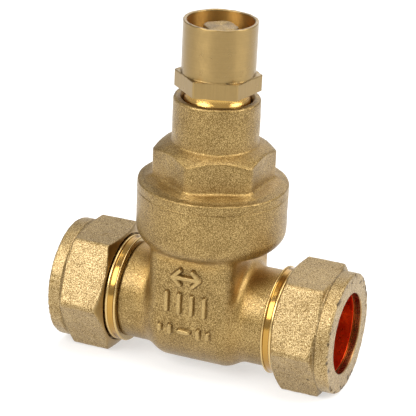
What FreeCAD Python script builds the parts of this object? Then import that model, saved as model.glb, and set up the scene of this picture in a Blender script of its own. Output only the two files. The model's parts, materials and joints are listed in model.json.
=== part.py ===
import FreeCAD, Part
import math
import os
import Sketcher

# A 15 mm lockshield gate valve: brass body with two compression ends, screwed
# bonnet, gland nut with a shield cup, and a spindle that lifts a wedge gate.
# Every sub-part is drawn about the crossing of the pipe axis (X) and the
# spindle axis (Z); its placement lifts it so that the end collars touch z = 0.

doc = FreeCAD.newDocument("LockshieldValve")
sheet = doc.addObject("Spreadsheet::Sheet", "Dims")

# alias, value in mm (angles in degrees), meaning
dimensions = (
    ("runGap", 0.08, "radial clearance of a screw thread or a turning fit"),
    ("slideGap", 0.15, "radial clearance of a loose sliding piece"),
    ("wallGap", 0.35, "radial clearance of a piece that only passes through"),
    ("faceGap", 0.1, "axial clearance between stacked faces of moving pieces"),
    # pipe run
    ("pipeBore", 15.2, "diameter of the pipe sockets"),
    ("waterway", 12.0, "diameter of the flow passage"),
    ("stopReach", 13.0, "valve centre to the pipe stop"),
    ("mouthReach", 22.5, "valve centre to the end of the body thread"),
    ("mouthConeLength", 1.6, "length of the cone that the olive seats in"),
    ("mouthConeFlare", 2.6, "growth in diameter of that cone"),
    ("threadSize", 20.0, "diameter of the body's end threads"),
    ("threadChamfer", 0.6, "chamfer on the end of the body thread"),
    ("ringSize", 20.5, "diameter of the machined ring behind each thread"),
    ("ringReach", 17.6, "valve centre to the outer face of the ring"),
    ("ringStart", 14.6, "valve centre to the inner face of the ring"),
    ("stubSize", 18.4, "diameter of the cast stub"),
    # cast casing
    ("casingWidth", 17.0, "casing size along the pipe"),
    ("casingDepth", 21.6, "casing size across the pipe"),
    ("casingTop", 15.0, "height of the casing block above the pipe axis"),
    ("casingRound", 3.0, "radius on the casing's upright edges"),
    # round head of the body
    ("headSize", 28.1, "diameter of the head"),
    ("headBottom", 13.2, "underside of the head above the pipe axis"),
    ("headTop", 23.7, "top face of the head above the pipe axis"),
    ("headRound", 3.3, "radius under the head"),
    ("headThread", 22.8, "diameter of the bonnet thread"),
    ("headThreadDepth", 7.4, "depth of the bonnet thread in the head"),
    ("roundChamber", 18.6, "diameter of the upper chamber"),
    ("roundChamberFloor", 14.9, "floor of the upper chamber above the pipe axis"),
    ("gasketSeat", 26.1, "diameter of the gasket counterbore"),
    ("gasketThickness", 0.5, "thickness of the bonnet gasket"),
    # gate and its chamber
    ("gateWidth", 14.0, "width of the wedge gate across the pipe"),
    ("gateThickness", 8.4, "thickness of the wedge on the pipe axis"),
    ("gateTaper", 4.0, "lean of each wedge face in degrees"),
    ("gateShoulder", 8.0, "top of the wedge block above the pipe axis"),
    ("gateTop", 11.2, "top of the wedge boss above the pipe axis"),
    ("gateBoss", 8.4, "diameter of the wedge boss"),
    ("gateHoleFloor", 6.0, "bottom of the threaded hole below the pipe axis"),
    ("gateEarSpan", 17.2, "width over the guide ears"),
    ("gateEarThickness", 3.0, "thickness of the guide ears"),
    ("gateEarDrop", 2.0, "bottom of the guide ears below the pipe axis"),
    ("seatGap", 0.05, "gap between a wedge face and its seat"),
    ("chamberSpan", 17.8, "width of the gate chamber across the pipe"),
    ("chamberRound", 8.4, "radius in the bottom of the gate chamber"),
    # bonnet
    ("bonnetBottom", 16.5, "bottom of the bonnet thread"),
    ("bonnetCollar", 27.9, "diameter of the bonnet collar"),
    ("bonnetCollarHeight", 1.5, "height of the collar's straight side"),
    ("bonnetCavityTop", 24.8, "roof of the bonnet cavity"),
    ("bonnetHexBottom", 26.3, "foot of the bonnet hexagon"),
    ("bonnetHex", 20.4, "bonnet hexagon across flats"),
    ("bonnetHexCorner", 22.9, "diameter over the rounded hexagon corners"),
    ("bonnetHexPhase", 26.7, "angle of the first hexagon corner from +X in degrees"),
    ("bonnetHexTop", 31.1, "top of the hexagon at its corners"),
    ("domeMiddle", 20.2, "diameter halfway up the dome"),
    ("domeMiddleHeight", 32.1, "height halfway up the dome"),
    ("domeTop", 33.2, "height where the dome meets the neck"),
    ("neckSize", 16.1, "diameter of the neck"),
    ("neckTop", 41.6, "top of the neck"),
    ("neckRound", 1.0, "radius on the neck's top edge"),
    ("neckMouthChamfer", 0.5, "chamfer in the mouth of the neck"),
    ("glandThread", 12.0, "diameter of the gland nut's thread"),
    ("boxSize", 10.1, "diameter of the stuffing box"),
    ("boxFloor", 27.5, "floor of the stuffing box"),
    ("boxTop", 35.0, "top of the stuffing box"),
    # spindle and packing
    ("stemSize", 6.5, "diameter of the spindle stem"),
    ("liftThread", 5.5, "diameter of the lifting thread"),
    ("liftThreadFoot", 7.2, "lower end of the spindle"),
    ("liftThreadTop", 24.5, "upper end of the lifting thread"),
    ("stemCollar", 9.8, "diameter of the thrust collar"),
    ("stemCollarHeight", 1.8, "height of the thrust collar"),
    ("stemTop", 55.0, "top of the spindle"),
    ("driveSquare", 5.7, "square drive across flats"),
    ("driveLength", 7.0, "length of the square drive"),
    ("driveChamfer", 0.3, "chamfer on the spindle's top edge"),
    ("washerThickness", 0.6, "thickness of the thrust washer"),
    ("packingThickness", 1.2, "thickness of one packing ring"),
    ("followerHeight", 2.3, "height of the gland follower"),
    # gland nut with its shield cup
    ("glandNeck", 11.4, "diameter of the undercut below the nut hexagon"),
    ("glandFlare", 12.2, "diameter of the flare at the neck's mouth"),
    ("glandFlareTop", 41.6, "top of the flare"),
    ("glandHex", 13.9, "gland nut hexagon across flats"),
    ("glandHexPhase", 17.9, "angle of the first hexagon corner from +X in degrees"),
    ("glandHexBottom", 43.2, "foot of the gland nut hexagon"),
    ("glandHexHeight", 3.06, "height of the gland nut hexagon"),
    ("cupSize", 13.65, "outside diameter of the shield cup"),
    ("cupWall", 0.66, "wall thickness of the shield cup"),
    ("cupTop", 56.1, "rim of the shield cup"),
    ("cupFloor", 46.6, "floor of the shield cup"),
    # compression nuts and olives
    ("nutHex", 22.0, "compression nut across flats"),
    ("nutStart", 16.9, "valve centre to the inner end of the nut"),
    ("nutHexEnd", 25.3, "valve centre to the outer end of the hexagon"),
    ("nutEnd", 28.15, "valve centre to the outer face of the nut"),
    ("nutCollar", 22.8, "diameter of the nut's round collar"),
    ("nutCollarRound", 0.5, "radius on the collar's outer edge"),
    ("nutInnerFace", 21.6, "diameter where the inner chamfer starts"),
    ("nutInnerChamfer", 0.95, "length of the inner chamfer at the corners"),
    ("nutOuterChamfer", 0.5, "length of the outer chamfer at the corners"),
    ("nutTurnLeft", 2.2, "turn of the left nut from flats-level in degrees"),
    ("nutTurnRight", 3.4, "turn of the right nut from flats-level in degrees"),
    ("nutThreadEnd", 23.2, "valve centre to the end of the nut thread"),
    ("nutReliefLength", 1.0, "length of the mouth that clears the ring"),
    ("nutConeStart", 23.9, "valve centre to the wide end of the nut cone"),
    ("nutConeEnd", 27.0, "valve centre to the narrow end of the nut cone"),
    ("nutConeSize", 18.6, "diameter of the wide end of the nut cone"),
    ("nutLip", "=pipeBore + 0.1", "diameter of the nut's lip bore"),
    ("oliveStart", 21.5, "valve centre to the inner end of the olive"),
    ("oliveEnd", 26.6, "valve centre to the outer end of the olive"),
    ("oliveBarrel", "=pipeBore + 1.8", "diameter of the olive's barrel"),
    ("oliveEdge", "=pipeBore + 0.5", "diameter of the olive's thin ends"),
    ("oliveBore", "=pipeBore", "diameter of the olive's bore"),
    ("oliveConeLength", 1.5, "length of each olive cone"),
)

for row, (alias, size, meaning) in enumerate(dimensions, start=1):
    sheet.set("A%d" % row, alias)
    sheet.set("B%d" % row, str(size))
    sheet.set("C%d" % row, meaning)
    sheet.setAlias("B%d" % row, alias)
doc.recompute()


def evaluate(expression):
    return float(sheet.evalExpression(expression))


def bind(thing, path, expression):
    thing.setExpression(path, expression)


def originPlane(body, role):
    return [feature for feature in body.Origin.OriginFeatures if feature.Role == role][0]


def newBody(label, turnAxis=None, turn="0"):
    """A body drawn about the valve centre and lifted to stand on z = 0."""
    body = doc.addObject("PartDesign::Body", label)
    body.Label = label
    if turnAxis:
        body.Placement = FreeCAD.Placement(
            FreeCAD.Vector(0, 0, evaluate("Dims.nutCollar / 2")), FreeCAD.Rotation(turnAxis, 1)
        )
        bind(body, "Placement.Rotation.Angle", turn)
    bind(body, "Placement.Base.z", "Dims.nutCollar / 2")
    return body


def newSketch(body, label, role, offset=None):
    sketch = body.newObject("Sketcher::SketchObject", label)
    sketch.AttachmentSupport = (originPlane(body, role), [""])
    sketch.MapMode = "FlatFace"
    if offset:
        bind(sketch, "AttachmentOffset.Base.z", offset)
    return sketch


def pin(sketch, kind, edge, expression):
    """Hold the start point of an edge at a driven distance from the origin."""
    index = sketch.addConstraint(
        Sketcher.Constraint(kind, -1, 1, edge, 1, evaluate(expression))
    )
    bind(sketch, "Constraints[%d]" % index, expression)


def outline(sketch, corners):
    """A closed outline of straight edges through corners given as expressions."""
    first = sketch.GeometryCount
    points = [FreeCAD.Vector(evaluate(x), evaluate(y), 0) for x, y in corners]
    count = len(points)
    for k in range(count):
        sketch.addGeometry(Part.LineSegment(points[k], points[(k + 1) % count]), False)
    for k in range(count):
        sketch.addConstraint(
            Sketcher.Constraint("Coincident", first + k, 2, first + (k + 1) % count, 1)
        )
    for k, (x, y) in enumerate(corners):
        pin(sketch, "DistanceX", first + k, x)
        pin(sketch, "DistanceY", first + k, y)
    return sketch


def circle(sketch, diameter):
    """A circle centred on the sketch's origin."""
    radius = evaluate(diameter) / 2
    edge = sketch.addGeometry(
        Part.Circle(FreeCAD.Vector(0, 0, 0), FreeCAD.Vector(0, 0, 1), radius), False
    )
    sketch.addConstraint(Sketcher.Constraint("Coincident", edge, 3, -1, 1))
    index = sketch.addConstraint(Sketcher.Constraint("Diameter", edge, 2 * radius))
    bind(sketch, "Constraints[%d]" % index, diameter)
    return sketch


def polygonCorners(acrossFlats, sides, phase):
    """Corners of a regular polygon; phase is the angle of its first corner."""
    corner = "(%s) / 2 / cos(%g)" % (acrossFlats, 180 / sides)
    angles = ["(%s) + %g" % (phase, k * 360 / sides) for k in range(sides)]
    return [("%s * cos(%s)" % (corner, a), "%s * sin(%s)" % (corner, a)) for a in angles]


def turned(body, label, corners, axis="V_Axis", cut=False):
    """Revolve an outline in the XZ plane about Z (V_Axis) or X (H_Axis)."""
    sketch = outline(newSketch(body, label + "Sketch", "XZ_Plane"), corners)
    kind = "PartDesign::Groove" if cut else "PartDesign::Revolution"
    feature = body.newObject(kind, label)
    feature.Profile = sketch
    feature.ReferenceAxis = (sketch, [axis])
    feature.Angle = 360
    body.Tip = feature
    return feature


def prism(body, label, sketch, length, centred=False, cut=False, reverse=False):
    feature = body.newObject("PartDesign::Pocket" if cut else "PartDesign::Pad", label)
    feature.Profile = sketch
    bind(feature, "Length", length)
    if centred:
        feature.SideType = "Symmetric"
    feature.Reversed = reverse
    body.Tip = feature
    return feature


def edgeNames(feature, wanted):
    """Names of the feature's edges for which wanted(middle point, edge) holds."""
    names = []
    for number, edge in enumerate(feature.Shape.Edges, start=1):
        middle = edge.valueAt((edge.FirstParameter + edge.LastParameter) / 2)
        if wanted(middle, edge):
            names.append("Edge%d" % number)
    return names


def rounded(body, label, radius, wanted, kind="PartDesign::Fillet", size="Radius"):
    doc.recompute()
    base = body.Tip
    feature = body.newObject(kind, label)
    feature.Base = (base, edgeNames(base, wanted))
    bind(feature, size, radius)
    body.Tip = feature
    return feature


def circleAt(diameter, along, position):
    """Test for a full circle of one diameter at one position along 'x' or 'z'."""
    radius = evaluate(diameter) / 2
    place = evaluate(position)

    def wanted(middle, edge):
        isCircle = edge.Curve.TypeId == "Part::GeomCircle"
        if not isCircle or abs(edge.Curve.Radius - radius) > 0.001:
            return False
        centre = edge.Curve.Center
        return abs((centre.x if along == "x" else centre.z) - place) < 0.001

    return wanted


# ---- body casting: outside ----

head = newBody("head_outside")
turned(head, "HeadForm", (
    ("0", "Dims.headBottom"),
    ("Dims.headSize / 2", "Dims.headBottom"),
    ("Dims.headSize / 2", "Dims.headTop"),
    ("0", "Dims.headTop"),
))
rounded(head, "HeadUnderside", "Dims.headRound", circleAt("Dims.headSize", "z", "Dims.headBottom"))

casing = newBody("casing_outside")
prism(casing, "CasingBottom", circle(newSketch(casing, "CasingRoundSketch", "YZ_Plane"),
      "Dims.casingDepth"), "Dims.casingWidth", centred=True)
prism(casing, "CasingSides", outline(newSketch(casing, "CasingSideSketch", "YZ_Plane"), (
    ("-Dims.casingDepth / 2", "0"),
    ("Dims.casingDepth / 2", "0"),
    ("Dims.casingDepth / 2", "Dims.casingTop"),
    ("-Dims.casingDepth / 2", "Dims.casingTop"),
)), "Dims.casingWidth", centred=True)
casingEnd = evaluate("Dims.casingWidth / 2")
casingTop = evaluate("Dims.casingTop")
rounded(casing, "CasingCorners", "Dims.casingRound",
        lambda middle, edge: abs(abs(middle.x) - casingEnd) < 0.001 and middle.z < casingTop - 0.01)

ends = newBody("ends_outside")
endHalf = (
    ("Dims.ringStart", "Dims.stubSize / 2"),
    ("Dims.ringStart", "Dims.ringSize / 2"),
    ("Dims.ringReach", "Dims.ringSize / 2"),
    ("Dims.ringReach", "Dims.threadSize / 2"),
    ("Dims.mouthReach - Dims.threadChamfer", "Dims.threadSize / 2"),
    ("Dims.mouthReach", "Dims.threadSize / 2 - Dims.threadChamfer"),
    ("Dims.mouthReach", "0"),
)
turned(ends, "EndForm", endHalf + tuple(("-(%s)" % x, r) for x, r in reversed(endHalf)), "H_Axis")

outside = doc.addObject("Part::MultiFuse", "body_outside")
outside.Shapes = [head, casing, ends]

# ---- body casting: passages ----

sockets = newBody("socket_core")
socketHalf = (
    ("Dims.stopReach", "Dims.waterway / 2"),
    ("Dims.stopReach", "Dims.pipeBore / 2"),
    ("Dims.mouthReach - Dims.mouthConeLength", "Dims.pipeBore / 2"),
    ("Dims.mouthReach", "(Dims.pipeBore + Dims.mouthConeFlare) / 2"),
    ("Dims.mouthReach + 1", "(Dims.pipeBore + Dims.mouthConeFlare) / 2"),
    ("Dims.mouthReach + 1", "0"),
)
turned(sockets, "SocketForm",
       socketHalf + tuple(("-(%s)" % x, r) for x, r in reversed(socketHalf)), "H_Axis")

upper = newBody("head_core")
turned(upper, "HeadCavity", (
    ("0", "Dims.roundChamberFloor"),
    ("Dims.roundChamber / 2", "Dims.roundChamberFloor"),
    ("Dims.roundChamber / 2", "Dims.headTop - Dims.headThreadDepth"),
    ("Dims.headThread / 2 + Dims.runGap", "Dims.headTop - Dims.headThreadDepth"),
    ("Dims.headThread / 2 + Dims.runGap", "Dims.headTop - Dims.gasketThickness"),
    ("Dims.gasketSeat / 2", "Dims.headTop - Dims.gasketThickness"),
    ("Dims.gasketSeat / 2", "Dims.headTop + 1"),
    ("0", "Dims.headTop + 1"),
))


def wedgeOutline(sketch, gap, low, high):
    """Both leaning faces of the wedge, moved out by gap, between two heights."""
    half = "(Dims.gateThickness / 2 + (%s) / cos(Dims.gateTaper) + (%s) * tan(Dims.gateTaper))"
    return outline(sketch, (
        ("-" + half % (gap, low), low),
        (half % (gap, low), low),
        (half % (gap, high), high),
        ("-" + half % (gap, high), high),
    ))


chamber = newBody("gate_chamber_core")
prism(chamber, "ChamberForm", wedgeOutline(newSketch(chamber, "ChamberSketch", "XZ_Plane"),
      "Dims.seatGap", "-Dims.chamberSpan / 2", "Dims.roundChamberFloor + 0.5"),
      "Dims.chamberSpan", centred=True)
chamberSide = evaluate("Dims.chamberSpan / 2")
rounded(chamber, "ChamberBottom", "Dims.chamberRound",
        lambda middle, edge: abs(abs(middle.y) - chamberSide) < 0.001
        and abs(middle.z + chamberSide) < 0.001)

passages = doc.addObject("Part::MultiFuse", "body_passages")
passages.Shapes = [sockets, upper, chamber]

bodyCasting = doc.addObject("Part::Cut", "body_casting")
bodyCasting.Label = "body_casting"
bodyCasting.Base = outside
bodyCasting.Tool = passages

# ---- bonnet, screwed into the head, and its gasket ----

bonnet = newBody("bonnet")
turned(bonnet, "BonnetForm", (
    ("0", "Dims.bonnetBottom"),
    ("Dims.headThread / 2", "Dims.bonnetBottom"),
    ("Dims.headThread / 2", "Dims.headTop"),
    ("Dims.bonnetCollar / 2", "Dims.headTop"),
    ("Dims.bonnetCollar / 2", "Dims.headTop + Dims.bonnetCollarHeight"),
    ("Dims.bonnetHexCorner / 2 - 1", "Dims.bonnetHexBottom"),
    ("Dims.neckSize / 2", "Dims.bonnetHexBottom"),
    ("Dims.neckSize / 2", "Dims.neckTop"),
    ("0", "Dims.neckTop"),
))
prism(bonnet, "BonnetHexagon", outline(
    newSketch(bonnet, "BonnetHexSketch", "XY_Plane", "Dims.headTop + Dims.bonnetCollarHeight / 2"),
    polygonCorners("Dims.bonnetHex", 6, "Dims.bonnetHexPhase")),
    "Dims.domeTop - Dims.headTop - Dims.bonnetCollarHeight / 2 + 1")
turned(bonnet, "BonnetDome", (
    ("Dims.bonnetHexCorner / 2", "Dims.bonnetHexBottom - 0.3"),
    ("Dims.bonnetHexCorner", "Dims.bonnetHexBottom - 0.3"),
    ("Dims.bonnetHexCorner", "Dims.domeTop + 2"),
    ("Dims.neckSize / 2", "Dims.domeTop + 2"),
    ("Dims.neckSize / 2", "Dims.domeTop"),
    ("Dims.domeMiddle / 2", "Dims.domeMiddleHeight"),
    ("Dims.bonnetHexCorner / 2", "Dims.bonnetHexTop"),
), cut=True)
turned(bonnet, "BonnetBore", (
    ("0", "Dims.bonnetBottom - 1"),
    ("Dims.roundChamber / 2", "Dims.bonnetBottom - 1"),
    ("Dims.roundChamber / 2", "Dims.bonnetCavityTop"),
    ("Dims.stemSize / 2 + Dims.runGap", "Dims.bonnetCavityTop"),
    ("Dims.stemSize / 2 + Dims.runGap", "Dims.boxFloor"),
    ("Dims.boxSize / 2", "Dims.boxFloor"),
    ("Dims.boxSize / 2", "Dims.boxTop"),
    ("Dims.glandThread / 2 + Dims.slideGap", "Dims.boxTop"),
    ("Dims.glandThread / 2 + Dims.slideGap", "Dims.neckTop - Dims.neckMouthChamfer"),
    ("Dims.glandThread / 2 + Dims.slideGap + Dims.neckMouthChamfer", "Dims.neckTop"),
    ("Dims.glandThread / 2 + Dims.slideGap + Dims.neckMouthChamfer", "Dims.neckTop + 1"),
    ("0", "Dims.neckTop + 1"),
), cut=True)
rounded(bonnet, "NeckEdge", "Dims.neckRound", circleAt("Dims.neckSize", "z", "Dims.neckTop"))


def ring(label, inner, outer, low, high):
    """A plain ring about the spindle axis."""
    body = newBody(label)
    turned(body, label + "Form", ((inner, low), (outer, low), (outer, high), (inner, high)))
    return body


gasket = ring("bonnet_gasket", "Dims.headThread / 2 + Dims.runGap", "Dims.gasketSeat / 2",
              "Dims.headTop - Dims.gasketThickness", "Dims.headTop")

# ---- packing above the spindle's thrust collar ----

stackFoot = "Dims.boxFloor + Dims.stemCollarHeight + Dims.faceGap"
packingFoot = stackFoot + " + Dims.washerThickness"
washer = ring("thrust_washer", "Dims.stemSize / 2 + Dims.runGap", "Dims.boxSize / 2",
              stackFoot, packingFoot)
packing = [
    ring("packing_ring_" + name, "Dims.stemSize / 2 + Dims.runGap", "Dims.boxSize / 2",
         "%s + %d * Dims.packingThickness" % (packingFoot, k),
         "%s + %d * Dims.packingThickness" % (packingFoot, k + 1))
    for k, name in enumerate(("lower", "middle", "upper"))
]
followerFoot = packingFoot + " + 3 * Dims.packingThickness + Dims.faceGap"
followerTop = followerFoot + " + Dims.followerHeight"
follower = ring("gland_follower", "Dims.stemSize / 2 + Dims.slideGap",
                "Dims.boxSize / 2 - Dims.slideGap", followerFoot, followerTop)

# ---- wedge gate ----

gate = newBody("wedge_gate")
prism(gate, "GateDisc", circle(newSketch(gate, "GateDiscSketch", "YZ_Plane"), "Dims.gateWidth"),
      "Dims.gateThickness * 2", centred=True)
prism(gate, "GateBlock", outline(newSketch(gate, "GateBlockSketch", "YZ_Plane"), (
    ("-Dims.gateWidth / 2", "0"),
    ("Dims.gateWidth / 2", "0"),
    ("Dims.gateWidth / 2", "Dims.gateShoulder"),
    ("-Dims.gateWidth / 2", "Dims.gateShoulder"),
)), "Dims.gateThickness * 2", centred=True)
for side, sign in (("Left", "-"), ("Right", "")):
    lowX = sign + "(Dims.gateThickness / 2 - Dims.gateWidth * tan(Dims.gateTaper))"
    highX = sign + "(Dims.gateThickness / 2 + Dims.gateWidth * tan(Dims.gateTaper))"
    farX = sign + "(Dims.gateThickness * 1.5)"
    prism(gate, "GateFace" + side, outline(newSketch(gate, "GateFaceSketch" + side, "XZ_Plane"), (
        (lowX, "-Dims.gateWidth"),
        (farX, "-Dims.gateWidth"),
        (farX, "Dims.gateWidth"),
        (highX, "Dims.gateWidth"),
    )), "Dims.gateWidth * 2", centred=True, cut=True)
prism(gate, "GateEars", outline(newSketch(gate, "GateEarSketch", "YZ_Plane"), (
    ("-Dims.gateEarSpan / 2", "-Dims.gateEarDrop"),
    ("Dims.gateEarSpan / 2", "-Dims.gateEarDrop"),
    ("Dims.gateEarSpan / 2", "Dims.gateShoulder"),
    ("-Dims.gateEarSpan / 2", "Dims.gateShoulder"),
)), "Dims.gateEarThickness", centred=True)
turned(gate, "GateBoss", (
    ("0", "0"),
    ("Dims.gateBoss / 2", "0"),
    ("Dims.gateBoss / 2", "Dims.gateTop"),
    ("0", "Dims.gateTop"),
))
turned(gate, "GateHole", (
    ("0", "-Dims.gateHoleFloor"),
    ("Dims.liftThread / 2 + Dims.runGap", "-Dims.gateHoleFloor"),
    ("Dims.liftThread / 2 + Dims.runGap", "Dims.gateTop + 1"),
    ("0", "Dims.gateTop + 1"),
), cut=True)

# ---- spindle ----

spindle = newBody("spindle")
turned(spindle, "SpindleForm", (
    ("0", "Dims.liftThreadFoot"),
    ("Dims.liftThread / 2", "Dims.liftThreadFoot"),
    ("Dims.liftThread / 2", "Dims.liftThreadTop"),
    ("Dims.stemSize / 2", "Dims.liftThreadTop"),
    ("Dims.stemSize / 2", "Dims.boxFloor + Dims.faceGap / 2"),
    ("Dims.stemCollar / 2", "Dims.boxFloor + Dims.faceGap / 2"),
    ("Dims.stemCollar / 2", "Dims.boxFloor + Dims.stemCollarHeight"),
    ("Dims.stemSize / 2", "Dims.boxFloor + Dims.stemCollarHeight"),
    ("Dims.stemSize / 2", "Dims.stemTop - Dims.driveChamfer"),
    ("Dims.stemSize / 2 - Dims.driveChamfer", "Dims.stemTop"),
    ("0", "Dims.stemTop"),
))
driveSketch = newSketch(spindle, "DriveSketch", "XY_Plane", "Dims.stemTop - Dims.driveLength")
circle(driveSketch, "Dims.stemSize * 1.5")
outline(driveSketch, polygonCorners("Dims.driveSquare", 4, "0"))
prism(spindle, "DriveSquare", driveSketch, "Dims.driveLength * 2", cut=True, reverse=True)

# ---- gland nut with its shield cup ----

gland = newBody("lockshield_nut")
turned(gland, "GlandForm", (
    ("0", followerTop + " + Dims.faceGap"),
    ("Dims.glandThread / 2", followerTop + " + Dims.faceGap"),
    ("Dims.glandThread / 2", "Dims.neckTop - 0.6"),
    ("Dims.glandFlare / 2", "Dims.neckTop - 0.3"),
    ("Dims.glandFlare / 2", "Dims.glandFlareTop"),
    ("Dims.glandNeck / 2", "Dims.glandFlareTop + (Dims.glandFlare - Dims.glandNeck) / 2"),
    ("Dims.glandNeck / 2", "Dims.glandHexBottom + 0.5"),
    ("Dims.cupSize / 2", "Dims.glandHexBottom + 0.5"),
    ("Dims.cupSize / 2", "Dims.cupTop"),
    ("0", "Dims.cupTop"),
))
prism(gland, "GlandHexagon", outline(newSketch(gland, "GlandHexSketch", "XY_Plane",
      "Dims.glandHexBottom"), polygonCorners("Dims.glandHex", 6, "Dims.glandHexPhase")),
      "Dims.glandHexHeight")
turned(gland, "GlandBore", (
    ("0", "Dims.boxTop"),
    ("Dims.stemSize / 2 + Dims.slideGap", "Dims.boxTop"),
    ("Dims.stemSize / 2 + Dims.slideGap", "Dims.cupFloor"),
    ("Dims.cupSize / 2 - Dims.cupWall", "Dims.cupFloor"),
    ("Dims.cupSize / 2 - Dims.cupWall", "Dims.cupTop + 1"),
    ("0", "Dims.cupTop + 1"),
), cut=True)


# ---- compression nuts and olives, drawn for the +X end ----

def compressionNut(label, turnAxis=None, turn="0", phase="0"):
    body = newBody(label, turnAxis, turn)
    prism(body, label + "Hexagon", outline(newSketch(body, label + "HexSketch", "YZ_Plane",
          "Dims.nutStart"), polygonCorners("Dims.nutHex", 6, phase)),
          "Dims.nutHexEnd - Dims.nutStart")
    turned(body, label + "Collar", (
        ("Dims.nutHexEnd - 1", "0"),
        ("Dims.nutHexEnd - 1", "Dims.nutCollar / 2 - 1"),
        ("Dims.nutHexEnd", "Dims.nutCollar / 2 - 1"),
        ("Dims.nutHexEnd", "Dims.nutCollar / 2"),
        ("Dims.nutEnd", "Dims.nutCollar / 2"),
        ("Dims.nutEnd", "0"),
    ), "H_Axis")
    turned(body, label + "Chamfers", (
        ("Dims.nutStart - 1", "Dims.nutInnerFace / 2"),
        ("Dims.nutStart", "Dims.nutInnerFace / 2"),
        ("Dims.nutStart + Dims.nutInnerChamfer", "Dims.nutHex / 2 / cos(30)"),
        ("Dims.nutHexEnd - Dims.nutOuterChamfer", "Dims.nutHex / 2 / cos(30)"),
        ("Dims.nutHexEnd", "Dims.nutCollar / 2 + 0.1"),
        ("Dims.nutHexEnd", "Dims.nutHex"),
        ("Dims.nutStart - 1", "Dims.nutHex"),
    ), "H_Axis", cut=True)
    turned(body, label + "Bore", (
        ("Dims.nutStart - 1", "0"),
        ("Dims.nutStart - 1", "Dims.ringSize / 2 + Dims.wallGap"),
        ("Dims.nutStart + Dims.nutReliefLength", "Dims.ringSize / 2 + Dims.wallGap"),
        ("Dims.nutStart + Dims.nutReliefLength", "Dims.threadSize / 2 + Dims.runGap"),
        ("Dims.nutThreadEnd", "Dims.threadSize / 2 + Dims.runGap"),
        ("Dims.nutConeStart", "Dims.nutConeSize / 2"),
        ("Dims.nutConeEnd", "Dims.nutLip / 2"),
        ("Dims.nutEnd + 1", "Dims.nutLip / 2"),
        ("Dims.nutEnd + 1", "0"),
    ), "H_Axis", cut=True)
    rounded(body, label + "Edge", "Dims.nutCollarRound",
            circleAt("Dims.nutCollar", "x", "Dims.nutEnd"))
    return body


def olive(label, turnAxis=None, turn="0"):
    body = newBody(label, turnAxis, turn)
    turned(body, label + "Form", (
        ("Dims.oliveStart", "Dims.oliveBore / 2"),
        ("Dims.oliveStart", "Dims.oliveEdge / 2"),
        ("Dims.oliveStart + Dims.oliveConeLength", "Dims.oliveBarrel / 2"),
        ("Dims.oliveEnd - Dims.oliveConeLength", "Dims.oliveBarrel / 2"),
        ("Dims.oliveEnd", "Dims.oliveEdge / 2"),
        ("Dims.oliveEnd", "Dims.oliveBore / 2"),
    ), "H_Axis")
    return body


upright = FreeCAD.Vector(0, 0, 1)
nutRight = compressionNut("compression_nut_right", phase="Dims.nutTurnRight")
nutLeft = compressionNut("compression_nut_left", upright, "180", phase="Dims.nutTurnLeft")
oliveRight = olive("olive_right")
oliveLeft = olive("olive_left", upright, "180")

doc.recompute()

# ---- check and write the sub-parts ----

for thing in doc.Objects:
    if "Invalid" in thing.State or "Error" in thing.State:
        raise RuntimeError("%s did not rebuild: %s" % (thing.Label, thing.State))

nodes = [bodyCasting, bonnet, gasket, gate, spindle, washer] + packing + [
    follower, gland, nutLeft, nutRight, oliveLeft, oliveRight]

os.makedirs("parts", exist_ok=True)
for node in nodes:
    shape = node.Shape
    if shape.isNull() or not shape.isValid() or len(shape.Solids) != 1:
        raise RuntimeError("%s has no single valid solid" % node.Label)
    if not math.isfinite(shape.Volume) or shape.Volume <= 0:
        raise RuntimeError("%s has no volume" % node.Label)
    shape.exportStep("parts/%s.step" % node.Label)
    box = shape.BoundBox
    print("%-24s %9.1f mm3  x %.2f..%.2f  y %.2f..%.2f  z %.2f..%.2f" % (
        node.Label, shape.Volume, box.XMin, box.XMax, box.YMin, box.YMax, box.ZMin, box.ZMax))
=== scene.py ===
import json
import math

import bmesh
import bpy
import numpy as np
from mathutils import Matrix, Vector


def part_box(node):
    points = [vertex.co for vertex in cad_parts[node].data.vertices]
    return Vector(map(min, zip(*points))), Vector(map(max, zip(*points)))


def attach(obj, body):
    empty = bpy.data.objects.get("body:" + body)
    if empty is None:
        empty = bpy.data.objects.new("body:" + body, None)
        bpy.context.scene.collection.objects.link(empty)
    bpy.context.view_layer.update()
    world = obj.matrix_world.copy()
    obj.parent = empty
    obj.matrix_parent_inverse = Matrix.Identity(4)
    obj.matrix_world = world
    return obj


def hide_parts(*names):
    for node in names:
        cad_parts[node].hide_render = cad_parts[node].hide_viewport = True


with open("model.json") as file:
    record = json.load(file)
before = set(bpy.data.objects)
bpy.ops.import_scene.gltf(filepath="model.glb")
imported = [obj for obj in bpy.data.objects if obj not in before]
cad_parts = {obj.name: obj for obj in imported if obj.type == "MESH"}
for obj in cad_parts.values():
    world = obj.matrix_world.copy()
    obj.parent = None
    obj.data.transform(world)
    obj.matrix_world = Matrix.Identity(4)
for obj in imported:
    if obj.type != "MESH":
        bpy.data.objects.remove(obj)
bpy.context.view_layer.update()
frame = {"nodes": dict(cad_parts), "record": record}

scene = bpy.context.scene
mm = 0.001
mounts = {mount["name"]: mount for mount in frame["record"]["mounts"]}
axisHeight = mounts["pipe_socket_right"]["pos_m"][2] / mm


def extent(node):
    # lowest and highest corner of a CAD node in mm, counted from the crossing of the two axes
    low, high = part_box(node)
    lift = Vector((0, 0, axisHeight))
    return low / mm - lift, high / mm - lift


nutLow, nutHigh = extent("compression_nut_right")
bodyLow, bodyHigh = extent("body_casting")
bonnetLow, bonnetHigh = extent("bonnet")
glandLow, glandHigh = extent("lockshield_nut")
spindleLow, spindleHigh = extent("spindle")
oliveLow, oliveHigh = extent("olive_right")
print("frame loaded, pipe axis at", round(axisHeight, 2), "mm")

# ---------- surfaces ----------


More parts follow.
